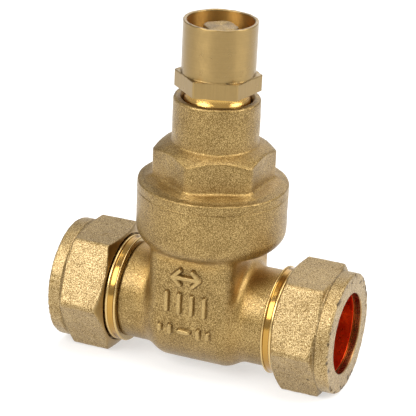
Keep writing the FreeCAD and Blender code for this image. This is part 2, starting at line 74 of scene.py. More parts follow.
def smoothMin(a, b, width):
    # the smaller of two values, rounded over where they come within width of each other
    near = np.maximum(width - np.abs(a - b), 0) / width
    return np.minimum(a, b) - near * near * width / 4


def smoothMax(a, b, width):
    # the larger of two values, rounded over in the same way
    return -smoothMin(-a, -b, width)


def softNoise(points, cell, seed):
    # random values on a lattice, blended between its corners with eased weights, from -1 to 1
    table = np.random.default_rng(seed).random((32, 32, 32))
    scaled = points / cell
    base = np.floor(scaled).astype(int)
    ease = scaled - base
    ease = ease * ease * (3 - 2 * ease)
    total = np.zeros(points.shape[:-1])
    for corner in np.ndindex(2, 2, 2):
        weight = np.prod(np.where(corner, ease, 1 - ease), axis=-1)
        spot = (base + corner) % 32
        total += weight * table[spot[..., 0], spot[..., 1], spot[..., 2]]
    return total * 2 - 1


def hexagonRadius(angle, flat, turn, softness):
    # distance from the axis to a regular hexagon with rounded corners; turn is the angle of a flat
    inside = np.abs((angle - turn + math.pi / 6) % (math.pi / 3) - math.pi / 6)
    return smoothMin(flat / np.cos(inside), flat / np.cos(math.pi / 3 - inside), softness)


def aroundAngles(columns):
    # equal angles once round, as one row
    return np.linspace(0, 2 * math.pi, columns, endpoint=False)[None, :]


def densePath(corners, step):
    # a closed profile through corners of (along, radius, hexagon share, rounding, polish),
    # each corner eased by a parabola as long as its rounding, with points about a step apart;
    # a sixth value widens the step after a corner that is out of sight
    spots = np.array([corner[:3] for corner in corners], float)
    rounding = np.array([corner[3] for corner in corners], float)
    polish = np.array([corner[4] for corner in corners], float)
    coarse = [corner[5] if len(corner) > 5 else 1 for corner in corners]
    after = np.roll(spots, -1, 0) - spots
    afterLength = np.hypot(after[:, 0], after[:, 1])
    before, beforeLength = np.roll(after, 1, 0), np.roll(afterLength, 1)
    longest, pointsPerStep = 0.48, 2.2     # longest is a share of the shorter side
    reach = np.minimum(rounding, longest * np.minimum(afterLength, beforeLength))
    enter = spots - before * (reach / beforeLength)[:, None]
    leave = spots + after * (reach / afterLength)[:, None]
    rows = []
    for k in range(len(corners)):
        count = max(1, int(np.ceil(pointsPerStep * reach[k] / step))) + (2 if reach[k] > 0 else 0)
        t = np.linspace(0, 1, count)[:, None] if reach[k] > 0 else np.array([[0.5]])
        curve = (1 - t) ** 2 * enter[k] + 2 * t * (1 - t) * spots[k] + t * t * leave[k]
        tone = polish[k - 1] + (polish[k] - polish[k - 1]) * t
        rows.append(np.hstack([curve, tone]))
        nextEnter = enter[(k + 1) % len(corners)]
        straight = np.hypot(*(nextEnter - leave[k])[:2])
        inner = np.linspace(0, 1, max(1, int(np.ceil(straight / (step * coarse[k])))) + 1)[1:-1, None]
        line = leave[k] + (nextEnter - leave[k]) * inner
        rows.append(np.hstack([line, np.full_like(inner, polish[k])]))
    return np.vstack(rows)


def stations(rows):
    # along, radius, hexagon share and polish of a dense path, as four columns
    return (rows[:, k:k + 1] for k in range(4))


def roundAxis(along, radius, angle, axis):
    # points at a distance along an axis, a radius from it and an angle about it
    across, up = radius * np.cos(angle), radius * np.sin(angle)
    along = np.broadcast_to(along, across.shape)
    order = {"x": (along, across, up), "-x": (-along, across, up), "z": (across, up, along)}
    return np.stack(order[axis], axis=-1)


def gridNormals(points):
    # the cross product of the two grid directions, both of which close on themselves
    down = np.roll(points, -1, 0) - np.roll(points, 1, 0)
    side = np.roll(points, -1, 1) - np.roll(points, 1, 1)
    normal = np.cross(down, side)
    return normal / np.maximum(np.linalg.norm(normal, axis=-1, keepdims=True), 1e-12)


def gridFaces(rows, columns):
    # each grid point with its next in both directions makes a face of four, closed both ways
    index = np.arange(rows * columns).reshape(rows, columns)
    side, down = np.roll(index, -1, 1), np.roll(index, -1, 0)
    return np.stack([index, side, np.roll(down, -1, 1), down], -1).reshape(-1, 4)


def signedVolume(points, faces):
    # sum of the triple products of each face's two halves; it is negative inside out
    a, b, c, d = (points[faces[:, k]] for k in range(4))
    return (np.sum(a * np.cross(b, c)) + np.sum(a * np.cross(c, d))) / 6


def weldPoles(mesh):
    # a ring of points shrunk onto the axis becomes one point
    welded = bmesh.new()
    welded.from_mesh(mesh)
    bmesh.ops.remove_doubles(welded, verts=welded.verts, dist=1e-7)
    welded.to_mesh(mesh)
    welded.free()


def piece(name, points, faces, finish, body, replaced=(), marks=None, poles=False):
    # points in mm about the valve centre become one smooth closed mesh that rides on a body
    points = np.asarray(points, float).reshape(-1, 3)
    if signedVolume(points, faces) < 0:
        faces = faces[:, ::-1]
    mesh = bpy.data.meshes.new(name)
    mesh.vertices.add(len(points))
    mesh.vertices.foreach_set("co", ((points + (0, 0, axisHeight)) * mm).ravel())
    mesh.loops.add(faces.size)
    mesh.loops.foreach_set("vertex_index", faces.ravel())
    mesh.polygons.add(len(faces))
    mesh.polygons.foreach_set("loop_start", np.arange(0, faces.size, 4))
    mesh.polygons.foreach_set("use_smooth", np.ones(len(faces), bool))
    mesh.update(calc_edges=True)
    mesh.validate()
    for label, values in (marks or {}).items():
        layer = mesh.attributes.new(label, "FLOAT", "POINT")
        layer.data.foreach_set("value", np.asarray(values, float).ravel())
    if poles:
        weldPoles(mesh)
    mesh.materials.append(finish)
    made = bpy.data.objects.new(name, mesh)
    scene.collection.objects.link(made)
    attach(made, body)
    if replaced:
        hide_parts(*replaced)
    print(name, sum(len(face.vertices) - 2 for face in mesh.polygons), "triangles")
    return made


# ---------- shader arithmetic ----------


class Signal:
    # a shader socket that takes part in ordinary sums; each sum adds one Math node
    def __init__(self, finish, socket):
        self.finish, self.socket = finish, socket

    def math(self, operation, first, second):
        return self.finish.node("ShaderNodeMath", {"operation": operation}, {0: first, 1: second})

    def __add__(self, other):
        return self.math("ADD", self, other)

    def __sub__(self, other):
        return self.math("SUBTRACT", self, other)

    def __mul__(self, other):
        return self.math("MULTIPLY", self, other)

    def __radd__(self, other):
        return self.math("ADD", other, self)

    def __rsub__(self, other):
        return self.math("SUBTRACT", other, self)

    def __rmul__(self, other):
        return self.math("MULTIPLY", other, self)

    def __pow__(self, other):
        return self.math("POWER", self, other)


class Finish:
    # a material with one Principled shader
    def __init__(self, name, metallic, **fixed):
        self.material = bpy.data.materials.new(name)
        self.material.use_nodes = True
        self.tree = self.material.node_tree
        self.shader = self.tree.nodes["Principled BSDF"]
        self.shader.inputs["Metallic"].default_value = metallic
        for socket, value in fixed.items():
            self.shader.inputs[socket.replace("_", " ")].default_value = value
        self.place = self.node("ShaderNodeTexCoord", {}, {}, "Object")

    def node(self, kind, settings, inputs, output=0):
        made = self.tree.nodes.new(kind)
        for key, value in settings.items():
            if key == "stops":
                self.setStops(made.color_ramp, value)
            else:
                setattr(made, key, value)
        for key, value in inputs.items():
            if isinstance(value, Signal):
                self.tree.links.new(value.socket, made.inputs[key])
            else:
                made.inputs[key].default_value = value
        return Signal(self, made.outputs[output])

    def setStops(self, ramp, stops):
        while len(ramp.elements) < len(stops):
            ramp.elements.new(1)
        for element, (position, colour) in zip(ramp.elements, stops):
            element.position, element.color = position, (*colour, 1)

    def noise(self, size, detail=2.0, roughness=0.5, where=None):
        # size is that of one grain in mm
        return self.node("ShaderNodeTexNoise", {}, {
            "Vector": where or self.place, "Scale": 1 / (size * mm),
            "Detail": detail, "Roughness": roughness})

    def spread(self, value, low, high, toLow=0.0, toHigh=1.0):
        return self.node("ShaderNodeMapRange", {"clamp": True}, {
            "Value": value, "From Min": low, "From Max": high, "To Min": toLow, "To Max": toHigh})

    def mix(self, factor, first, second, blend="MIX"):
        first, second = (c if isinstance(c, Signal) else (*c, 1) for c in (first, second))
        return self.node("ShaderNodeMix", {"data_type": "RGBA", "blend_type": blend},
                         {0: factor, 6: first, 7: second}, 2)

    def mark(self, name):
        return self.node("ShaderNodeAttribute", {"attribute_name": name}, {}, "Fac")

    def bump(self, height, distance, strength=1.0, over=None):
        # distance in mm
        inputs = {"Height": height, "Distance": distance * mm, "Strength": strength}
        if over:
            inputs["Normal"] = over
        return self.node("ShaderNodeBump", {}, inputs)

    def feed(self, **sockets):
        for name, value in sockets.items():
            self.tree.links.new(value.socket, self.shader.inputs[name.replace("_", " ")])
        return self.material


brassLook = {
    "castDark": (0.085, 0.045, 0.011),
    "castMiddle": (0.222, 0.136, 0.036),
    "castLight": (0.58, 0.415, 0.17),
    "turned": (0.352, 0.227, 0.073),
    "fresh": (0.72, 0.44, 0.12),     # fresh-cut metal in the gland's neck, brightened as a painted reflection
    "bounceDark": (0.30, 0.165, 0.035),    # painted bounce light: warmer, brighter colour for concave corners
    "bounceLight": (0.66, 0.41, 0.12),
    "freshSmooth": 0.12,
    "cupBounce": (0.50, 0.27, 0.065),       # painted bounce light: warm orange inside the shield cup
    # dark colour for real grime in pits and burrs and for painted shade in crevices
    "grime": (0.035, 0.018, 0.006),
    "grain": 0.17,           # size of the blasted grain in mm
    "fineGrain": 0.09,
    "grainDepth": 0.06,
    "castRoughness": (0.38, 0.52),
    "turnedRoughness": (0.26, 0.38),
    "lathePitch": 0.10,      # spacing of the turning marks in mm
    "latheDepth": 0.03,
    "insideRoughness": 0.12,
    "coat": 0.3,
    "coatRoughness": 0.32,
}


def brass(name, axis, look=brassLook, sparkle=1.0, anisotropic=0.0, brushed=False):
    # blasted cast brass that turns into bright turned brass where the polish mark is 1;
    # brushed adds milled flats and the rougher inside of the cup, tinted with a painted warm bounce
    f = Finish(name, 1.0, Coat_Weight=look["coat"], Coat_Roughness=look["coatRoughness"],
               Anisotropic=anisotropic, Anisotropic_Rotation=0.25)
    polish, grime, fresh = f.mark("polish"), f.mark("grime"), f.mark("fresh")
    grain = f.noise(look["grain"], 2.0, 0.6)
    fine = f.noise(look["fineGrain"], 1.0, 0.5)
    broad = f.noise(4.0, 3.0, 0.55)
    speck = f.spread(grain * 0.65 + fine * 0.35, 0.36, 0.64)
    tone = f.spread(speck * (0.85 * sparkle) + broad * 0.35, 0.1, 1.0)
    castColour = f.node("ShaderNodeValToRGB", {"stops": (
        (0.0, look["castDark"]), (0.5, look["castMiddle"]), (1.0, look["castLight"]))}, {"Fac": tone})
    # painted bounce light: concave corners take a warmer, brighter colour
    castColour = f.mix(f.mark("warm"), castColour, f.mix(speck, look["bounceDark"], look["bounceLight"]))
    # lighter tops of the cast marks, partly wear and partly painted highlight
    castColour = f.mix(f.mark("worn"), castColour, look["castLight"])
    # turning marks: noise that only changes along the axis and away from it
    apart = f.node("ShaderNodeSeparateXYZ", {}, {"Vector": f.place})
    x, y, z = (Signal(f, apart.socket.node.outputs[k]) for k in range(3))
    along, one, two = (x, y, z) if axis == "x" else (z, x, y)
    if axis == "x":
        two = two - axisHeight * mm
    outward = (one * one + two * two) ** 0.5
    rings = f.node("ShaderNodeCombineXYZ", {}, {"X": along, "Y": outward, "Z": 0.0})
    lathe = f.noise(look["lathePitch"], 2.0, 0.6, rings)
    if brushed:
        # milled flats: streaks along the axis in place of rings
        streaks = f.node("ShaderNodeCombineXYZ", {}, {"X": one, "Y": two, "Z": along * 0.04})
        milled = f.mark("milled")
        lathe = lathe * (1 - milled) + f.noise(0.25, 2.0, 0.6, streaks) * milled
    smudge = f.noise(1.6, 4.0, 0.6)
    worn = f.spread(lathe * 0.5 + smudge * 0.5, 0.32, 0.68)
    turnedColour = f.mix(worn, tuple(0.80 * c for c in look["turned"]), look["turned"])
    # fresh-cut metal on the gland's flare, brightened as a painted reflection; painted reflection alone
    # on the nut lips and in the end rings' grooves
    turnedColour = f.mix(fresh, turnedColour, look["fresh"])
    low, high = look["castRoughness"]
    smoothLow, smoothHigh = look["turnedRoughness"]
    castRough = f.spread(speck, 0.0, 1.0, high, low)
    turnedRough = f.spread(smudge, 0.3, 0.7, smoothLow, smoothHigh)
    turnedRough = turnedRough - fresh * look["freshSmooth"]
    if brushed:
        inside = f.mark("inside")
        # painted bounce light: the inside of the cup turns warm orange; it is also rougher
        turnedColour = f.mix(inside, turnedColour, look["cupBounce"])
        turnedRough = turnedRough + inside * look["insideRoughness"]
    colour = f.mix(polish, castColour, turnedColour)
    # darkens where that mark is set: real grime in pits and burrs, painted shade in crevices and at the
    # cast marks' feet
    dirtyAndShaded = f.mix(grime, colour, look["grime"])
    roughness = castRough * (1 - polish) + turnedRough * polish
    castHeight = grain * 0.7 + fine * 0.3
    rough = f.bump(castHeight * (1 - polish), look["grainDepth"] * sparkle)
    normal = f.bump(lathe * polish, look["latheDepth"], 1.0, rough)
    return f.feed(Base_Color=dirtyAndShaded, Roughness=roughness, Normal=normal)


bodyBrass = brass("castBrass", "z")
# on the nuts that colour is a painted copper reflection on the lip
nutLook = dict(brassLook, castLight=(0.60, 0.45, 0.225), fresh=(0.34, 0.125, 0.04), freshSmooth=0.05)
nutBrass = brass("nutBrass", "x", nutLook, sparkle=1.2)
# in the end rings that colour is a painted deep-gold reflection in the groove between the lips
endLook = dict(brassLook, turned=(0.68, 0.48, 0.19), fresh=(0.42, 0.235, 0.045),
               turnedRoughness=(0.20, 0.30), latheDepth=0.012)
endBrass = brass("endBrass", "x", endLook)
glandLook = dict(brassLook, turned=(0.355, 0.238, 0.088), turnedRoughness=(0.27, 0.38))
glandBrass = brass("glandBrass", "z", glandLook, anisotropic=0.8, brushed=True)


# the bore colour is a painted deep red for light reflected inside the copper
copperLook = {"dark": (0.66, 0.23, 0.09), "light": (0.82, 0.36, 0.17), "bore": (0.95, 0.085, 0.014)}


def copper(look=copperLook):
    # bright copper whose bore carries a painted deep red, standing for light reflected round inside it
    f = Finish("oliveCopper", 1.0)
    rub = f.noise(0.9, 2.0, 0.5)
    colour = f.mix(f.spread(rub, 0.35, 0.7), look["dark"], look["light"])
    colour = f.mix(f.mark("bore"), colour, look["bore"])
    return f.feed(Base_Color=colour, Roughness=f.spread(rub, 0.3, 0.7, 0.26, 0.36),
                  Normal=f.bump(rub, 0.01))


oliveCopper = copper()
print("finishes made")

# ---------- compression nuts ----------

nut = {
    "flat": 11.06,
    "cornerSoftness": 0.55,
    "corner": 12.74,          # radius over the rounded corners
    "innerFace": 10.75,
    "innerSlope": 2.1,        # rise of the turned chamfer on the mouth's side
    "outerSlope": 3.4,
    "hexEnd": 25.3,
    "collar": 11.4,
    "collarRound": 0.5,
    "collarFoot": 0.5,        # how softly the hexagon runs into the collar
    "collarSlope": 3.0,
    "cornerBlend": 0.3,
    "wedgeBlend": 0.7,
    "turnedEdge": 0.08,       # how sharply the turned chamfer meets the forged skin
    "lip": 7.65,
    "lipFoot": 27.0,
    "cone": (23.9, 9.3),      # where the inner cone starts, and its radius there
    "threadEnd": 23.3,
    "mouthDepth": 1.0,
    "bore": 10.45,
    "thread": 10.08,
    "threadDepth": 0.5,
    "pitch": 1.5,
    "pits": 75,
    "columns": 384,
    "step": 0.155,
    "turnRight": 3.9,         # degrees from flats level
    "turnLeft": 2.2,
    # single hollows: distance along the pipe, angle in degrees, size
    "hollows": {1: ((24.0, 216, 0.22), (20.2, 195, 0.16)),
                -1: ((17.9, 192, 0.38), (22.2, 170, 0.15))},
}


def nutOutside(along, angle, turn):
    # hexagon cut by a turned cone at the mouth and a softer forged one at the collar
    n = nut
    hexagon = hexagonRadius(angle, n["flat"], math.radians(90 + turn), n["cornerSoftness"])
    hexagon = smoothMin(hexagon, n["corner"] + 0 * along, n["cornerBlend"])
    inner = n["innerFace"] + (along - nutLow.x) * n["innerSlope"]
    outer = n["collar"] + 0.1 + (n["hexEnd"] - along) * n["outerSlope"]
    wedge = smoothMin(hexagon, outer, n["wedgeBlend"])
    turned = np.clip((wedge - inner) / n["turnedEdge"], 0, 1)
    collar = n["collar"] - n["collarSlope"] * np.maximum(n["hexEnd"] + 0.28 - along, 0)
    return smoothMax(smoothMin(wedge, inner, 0.1), collar, n["collarFoot"]), turned


def compressionNut(side, turn, seed):
    # along the pipe: mouth, chamfer, hexagon, round collar, end face, lip, cone, thread
    start, end, n = nutLow.x, nutHigh.x, nut
    mouth = start + n["mouthDepth"]
    corners = [
        (start, n["innerFace"], 0, 0.0, 1), (start + 0.01, n["innerFace"], 1, 0.0, 0),
        (n["hexEnd"] + 0.7, n["collar"], 1, 0.0, 0), (end, n["collar"], 0, n["collarRound"], 0),
        (end, n["lip"], 0, 0.3, 1), (n["lipFoot"], n["lip"], 0, 0.05, 1, 2), (*n["cone"], 0, 0.1, 1),
        (n["threadEnd"], n["thread"], 0, 0.1, 1), (mouth, n["thread"], 0, 0.05, 1),
        (mouth - 0.05, n["bore"], 0, 0.05, 1), (start, n["bore"], 0, 0.12, 1)]
    rows = densePath(corners, n["step"])
    along, radius, share, polish = stations(rows)
    angle = aroundAngles(n["columns"])
    outside, turned = nutOutside(along, angle, turn)
    out = radius + share * (outside - radius)
    polish = np.maximum(polish + 0 * angle, turned * (share > 0))
    # inside thread: rounded ridges that wind round once per pitch
    wind = np.cos(2 * math.pi * (along / n["pitch"] - angle / (2 * math.pi)))
    threaded = (np.abs(radius - n["thread"]) < 0.001) & (along > mouth + 0.2)
    out = out + np.where(threaded, n["threadDepth"] / 2 * (wind + 1), 0)
    points = roundAxis(along, out, angle, "x" if side > 0 else "-x")
    normal = gridNormals(points)
    outward = 1 if np.sum(normal[60] * points[60] * (0, 1, 1)) > 0 else -1
    rough = 1 - polish
    push = rough * (0.045 * softNoise(points, 1.7, seed) + 0.026 * softNoise(points, 0.5, seed + 1))
    pits, grime = nutPits(points, seed, side)
    # painted shade in the groove between hexagon and collar
    creviceShade = 0.35 * np.exp(-((along - n["hexEnd"] - 0.12) / 0.16) ** 2)
    grime = np.maximum(grime, creviceShade * (out < 11.6) * (out > 10.6))
    points = points + normal * outward * (push - pits * rough)[..., None]
    # painted reflection: the lip is tinted copper as if it mirrored the olive behind it
    fresh = (radius < n["lip"] + 0.15) * (along < end - 0.1) * (along > n["lipFoot"] - 0.1) + 0 * out
    word = "Right" if side > 0 else "Left"
    return piece("compressionNut" + word, points, gridFaces(*out.shape), nutBrass,
                 word.lower() + "_nut", ("compression_nut_" + word.lower(),),
                 {"polish": polish, "grime": grime, "fresh": fresh})


def nutPits(points, seed, side):
    # bell-shaped hollows left by forging scale, mostly near the rim of the end face
    random = np.random.default_rng(seed)
    spots = []
    for k in range(nut["pits"]):
        around, out = random.uniform(0, 2 * math.pi), 11.25 - 1.5 * random.random() ** 2
        spots.append((nutHigh.x, around, out, random.uniform(0.13, 0.30)))
    for along, degrees, size in nut["hollows"][side]:
        spots.append((along, math.radians(degrees), 11.05, size))
    depth = np.zeros(points.shape[:2])
    for along, around, out, size in spots:
        centre = np.array((side * along, out * math.cos(around), out * math.sin(around)))
        away = np.sum((points - centre) ** 2, -1)
        depth += size * 0.6 * np.exp(-away / size ** 2)
    return depth, np.clip(depth * 12, 0, 0.8)


compressionNut(1, nut["turnRight"], 11)
compressionNut(-1, nut["turnLeft"], 29)

# ---------- olives ----------

olive = {"bore": 7.6, "edge": 7.85, "barrel": 8.5, "cone": 1.5, "columns": 192, "step": 0.2}


def oliveRing(side):
    # a short barrel with a cone at each end and a plain bore
    start, end = oliveLow.x, oliveHigh.x
    corners = [
        (start, olive["bore"], 0, 0.05, 1), (start, olive["edge"], 0, 0.08, 1),
        (start + olive["cone"], olive["barrel"], 0, 0.4, 1),
        (end - olive["cone"], olive["barrel"], 0, 0.4, 1),
        (end, olive["edge"], 0, 0.1, 1), (end, olive["bore"], 0, 0.05, 1)]
    rows = densePath(corners, olive["step"])
    along, radius, _, _ = stations(rows)
    angle = aroundAngles(olive["columns"])
    out = radius + 0 * angle
    points = roundAxis(along, out, angle, "x" if side > 0 else "-x")
    # the bore, for its painted deep-red reflection
    inside = (radius < olive["bore"] + 0.02) + 0 * angle
    word = "Right" if side > 0 else "Left"
    piece("olive" + word, points, gridFaces(*out.shape), oliveCopper,
          word.lower() + "_olive", ("olive_" + word.lower(),), {"bore": inside})


oliveRing(1)
oliveRing(-1)

# ---------- cast body ----------

cast = {
    "headRadius": 14.05, "headBottom": 13.3, "headRound": 3.3, "headTop": 23.7,
    "casingHalfWidth": 8.5, "casingHalfDepth": 10.8, "casingRound": 3.0,
    "stub": 9.2, "stubEnd": 14.6, "machinedBore": 8.3,
    "headFillet": 0.9, "stubFillet": 1.9,
    # inside: the gate's chamber, open above, and the bore that takes the bonnet
    "chamberTop": 16, "chamber": 8.9, "chamberHalfWidth": 5.0,
    "bonnetBore": 9.3, "bonnetBoreFoot": 14.9,
    # strength of the painted bounce light in concave corners
    "bounceStrength": 1.5,
    "lookOut": (1.5, 3.0, 4.5),      # how far from the skin neighbouring walls are looked for
    "step": 0.285,
}


def castField(p):
    # signed distance: head, casing and stubs joined with soft fillets, less the hollows
    x, y, z = p[..., 0], p[..., 1], p[..., 2]
    c = cast
    spread = np.hypot(x, y)
    edge, low = c["headRadius"] - c["headRound"], c["headBottom"] + c["headRound"]
    bowl = np.hypot(np.maximum(spread - edge, 0), np.maximum(low - z, 0)) - c["headRound"]
    head = smoothMax(bowl, z - c["headTop"], 0.1)
    r = c["casingRound"]
    width = np.abs(x) - c["casingHalfWidth"] + r
    depth = np.hypot(y, np.minimum(z, 0)) - c["casingHalfDepth"] + r
    casing = np.hypot(np.maximum(width, 0), np.maximum(depth, 0)) + np.minimum(
        np.maximum(width, depth), 0) - r
    casing = np.maximum(casing, z - c["chamberTop"])
    stub = np.maximum(np.hypot(y, z) - c["stub"], np.abs(x) - c["stubEnd"])
    solid = smoothMin(smoothMin(head, casing, c["headFillet"]), stub, c["stubFillet"])
    solid = np.maximum(solid, np.abs(x) - c["stubEnd"])
    solid = np.maximum(solid, z - c["headTop"])
    bore = np.hypot(y, z) - c["machinedBore"]
    slab = (np.abs(x) / c["chamberHalfWidth"] - 1) * c["chamber"]
    trough = np.maximum(np.hypot(y, np.minimum(z, 0)) - c["chamber"], z - c["chamberTop"])
    upper = np.maximum(spread - c["bonnetBore"], c["bonnetBoreFoot"] - z)
    hollow = np.minimum(np.minimum(bore, np.maximum(slab, trough)), upper)
    return np.maximum(solid, -hollow)


def skinOf(field, low, high, step):
    # one vertex in each cell the surface crosses, at the mean of its edge crossings, then
    # moved down the field's slope onto the surface; four cells round a crossed edge make a face
    axes = [np.arange(a, b + step, step) for a, b in zip(low, high)]
    lattice = np.stack(np.meshgrid(*axes, indexing="ij"), -1)
    value = field(lattice)
    shape = np.array(value.shape)
    total = np.zeros((*(shape - 1), 3))
    count = np.zeros(shape - 1)
    crossings = []
    for d in range(3):
        first = [slice(None)] * 3
        second = [slice(None)] * 3
        first[d], second[d] = slice(0, -1), slice(1, None)
        a, b = value[tuple(first)], value[tuple(second)]
        crossed = (a < 0) != (b < 0)
        share = np.where(crossed, a / np.where(crossed, a - b, 1), 0)
        spot = lattice[tuple(first)] + share[..., None] * step * np.eye(3)[d]
        e, g = [k for k in range(3) if k != d]
        for up in np.ndindex(2, 2):
            part = [slice(None)] * 3
            part[e] = slice(up[0], shape[e] - 1 + up[0])
            part[g] = slice(up[1], shape[g] - 1 + up[1])
            total += np.where(crossed[tuple(part)][..., None], spot[tuple(part)], 0)
            count += crossed[tuple(part)]
        crossings.append((crossed, a < 0, e, g))
    busy = count > 0
    number = np.full(busy.shape, -1)
    number[busy] = np.arange(busy.sum())
    points = total[busy] / count[busy][:, None]
    faces = []
    for d, (crossed, starts, e, g) in enumerate(crossings):
        at = np.argwhere(crossed)
        keep = (at[:, e] > 0) & (at[:, g] > 0) & (at[:, e] < shape[e] - 1) & (at[:, g] < shape[g] - 1)
        at = at[keep]
        back = np.eye(3, dtype=int)
        corner = [number[tuple((at - back[e] * p - back[g] * q).T)] for p, q in
                  ((0, 0), (1, 0), (1, 1), (0, 1))]
        quad = np.stack(corner, -1)
        flip = starts[tuple(at.T)] == (d == 1)
        quad[flip] = quad[flip][:, ::-1]
        faces.append(quad)
    faces = np.vstack(faces)
    for _ in range(3):
        points = settle(field, points, step)
    return points, faces


def slope(field, points, reach=0.02):
    # the field's change between two points either side, over the way between them
    return np.stack([(field(points + reach * axis) - field(points - reach * axis)) / (2 * reach)
                     for axis in np.eye(3)], -1)


def settle(field, points, step):
    # one step down the slope by value over slope, no longer than 0.4 of a cell
    grade = slope(field, points)
    size = np.maximum(np.sum(grade * grade, -1), 0.2)
    move = -field(points)[:, None] * grade / size[:, None]
    length = np.maximum(np.linalg.norm(move, axis=-1, keepdims=True), 1e-9)
    return points + move * np.minimum(1, 0.4 * step / length)


def castBody():
    # the field's zero surface, pushed along its normal by coarse and fine noise on the outside
    across, depth = cast["stubEnd"] + 0.6, 14.8
    points, faces = skinOf(castField, (-across, -depth, -11.5), (across, depth, 24.5), cast["step"])
    normal = slope(castField, points)
    normal /= np.maximum(np.linalg.norm(normal, axis=-1, keepdims=True), 1e-9)
    outside = (np.hypot(points[:, 1], points[:, 2]) > 9.0) & (points[:, 2] < 23.5)
    bumps = 0.035 * softNoise(points, 2.2, 5) + 0.016 * softNoise(points, 0.5, 6)
    points = points + normal * (bumps * outside)[:, None]
    # how much of the space in front of the skin is filled by neighbouring walls
    filled = [1 - castField(points + normal * away) / away for away in cast["lookOut"]]
    # painted bounce light: the more the skin is hemmed in by walls, the warmer and brighter its colour
    warm = np.clip(sum(filled) / len(filled) * cast["bounceStrength"], 0, 0.9) * outside
    return piece("bodyCasting", points, faces, bodyBrass, "valve_body", ("body_casting",),
                 {"warm": warm})


castBody()

marks = {
    "height": 0.78, "stroke": 0.24, "slope": 0.44, "grid": 0.09,
    # lighter stroke tops, partly wear and partly painted highlight; painted shade at the strokes' feet
    "worn": 0.45, "foot": 0.35,
    "across": (-6.4, 6.2), "climb": (-3.6, 12.4),      # the sheet that they stand on
    "sunk": 0.10, "wave": 0.06, "back": 0.9,
    # strokes from one point to another: along the pipe, up
    "flowArrow": ((-2.7, 9.5, 2.6, 9.5), (-2.7, 9.5, -1.3, 10.9), (-2.7, 9.5, -1.3, 8.1),
                  (2.6, 9.5, 1.2, 10.9), (2.6, 9.5, 1.2, 8.1)),
    "bars": ((-3.8, 2.6, -3.8, 6.0), (-1.3, 2.6, -1.3, 6.0), (1.2, 2.6, 1.2, 6.0),
             (3.7, 2.6, 3.7, 6.0)),
    "dots": ((-5.0, -1.6, -5.0, -0.9), (-3.0, -1.9, -3.0, -0.6), (-1.1, -1.3, 0.8, -1.3),
             (2.7, -1.9, 2.7, -0.6), (4.6, -1.6, 4.6, -0.9)),
}


def castMarks():
    # a thin sheet just under the casing's front; its height rises out of it along each stroke,
    # falling from full height over the slope's width either side
    m = marks
    x, s = np.meshgrid(np.arange(*m["across"], m["grid"]), np.arange(*m["climb"], m["grid"]))
    nearest = np.full(x.shape, 9.0)
    for x0, z0, x1, z1 in m["flowArrow"] + m["bars"] + m["dots"]:
        run, rise = x1 - x0, z1 - z0
        share = np.clip(((x - x0) * run + (s - z0) * rise) / (run * run + rise * rise), 0, 1)
        nearest = np.minimum(nearest, np.hypot(x - x0 - share * run, s - z0 - share * rise))
    rise = np.clip((m["stroke"] + m["slope"] - nearest) / m["slope"], 0, 1)
    rise = rise * rise * (3 - 2 * rise)
    flat = np.stack([x, 0 * x, s], -1)
    wave = m["wave"] * softNoise(flat, 0.7, 61) * rise
    depth = cast["casingHalfDepth"]
    edge = np.minimum(np.minimum(x - x.min(), x.max() - x), np.minimum(s - s.min(), s.max() - s))
    out = depth - m["sunk"] + (m["height"] + 0.05) * rise + wave - 0.5 * (edge < 0.001)
    bend = np.minimum(s, 0) / depth
    points = np.stack([x, -out * np.cos(bend), out * np.sin(bend) + np.maximum(s, 0)], -1)
    rows, columns = x.shape
    index = np.arange(rows * columns).reshape(rows, columns)
    faces = np.stack([index[:-1, :-1], index[:-1, 1:], index[1:, 1:], index[1:, :-1]], -1)
    # the same sheet pushed back closes it behind
    behind = points + (0, m["back"], 0)
    rim = np.concatenate([index[0, :-1], index[:-1, -1], index[-1, :0:-1], index[:0:-1, 0]])
    following = np.roll(rim, -1)
    shift = rows * columns
    front = faces.reshape(-1, 4)
    wall = np.stack([rim + shift, following + shift, following, rim], -1)
    closed = np.vstack([front, front[:, ::-1] + shift, wall])
    allPoints = np.vstack([points.reshape(-1, 3), behind.reshape(-1, 3)])
    # tops partly worn and partly painted highlight; a painted shade line round each stroke's foot
    worn = np.clip(rise * 1.6 - 0.6, 0, 1) * m["worn"]
    foot = np.exp(-((nearest - m["stroke"] - m["slope"]) / 0.14) ** 2) * m["foot"]
    # the back of the sheet carries neither
    worn, foot = (np.concatenate([mark.ravel(), 0 * mark.ravel()]) for mark in (worn, foot))
    piece("castMarks", allPoints, closed, bodyBrass, "valve_body", (),
          {"worn": worn, "grime": foot})


castMarks()

ends = {
    "ring": 10.25, "groove": 9.98, "ringEnd": 17.6,
    "lips": ((14.80, 15.02), (16.34, 16.74)),      # the ring's two lips, from and to
    "skin": 8.36, "skinEnd": (14.2, 14.58), "shoulder": 8.98,      # inside the cast stub
    "undercut": 9.3, "thread": 9.75, "threadStart": 18.3, "threadHeight": 0.25, "pitch": 1.5,
    "mouth": 8.9, "mouthDepth": 1.6, "socket": 7.6, "pipeStop": 13.0,
    "waterway": 6.0, "seat": 5.3,
    "columns": 288, "step": 0.12,
}


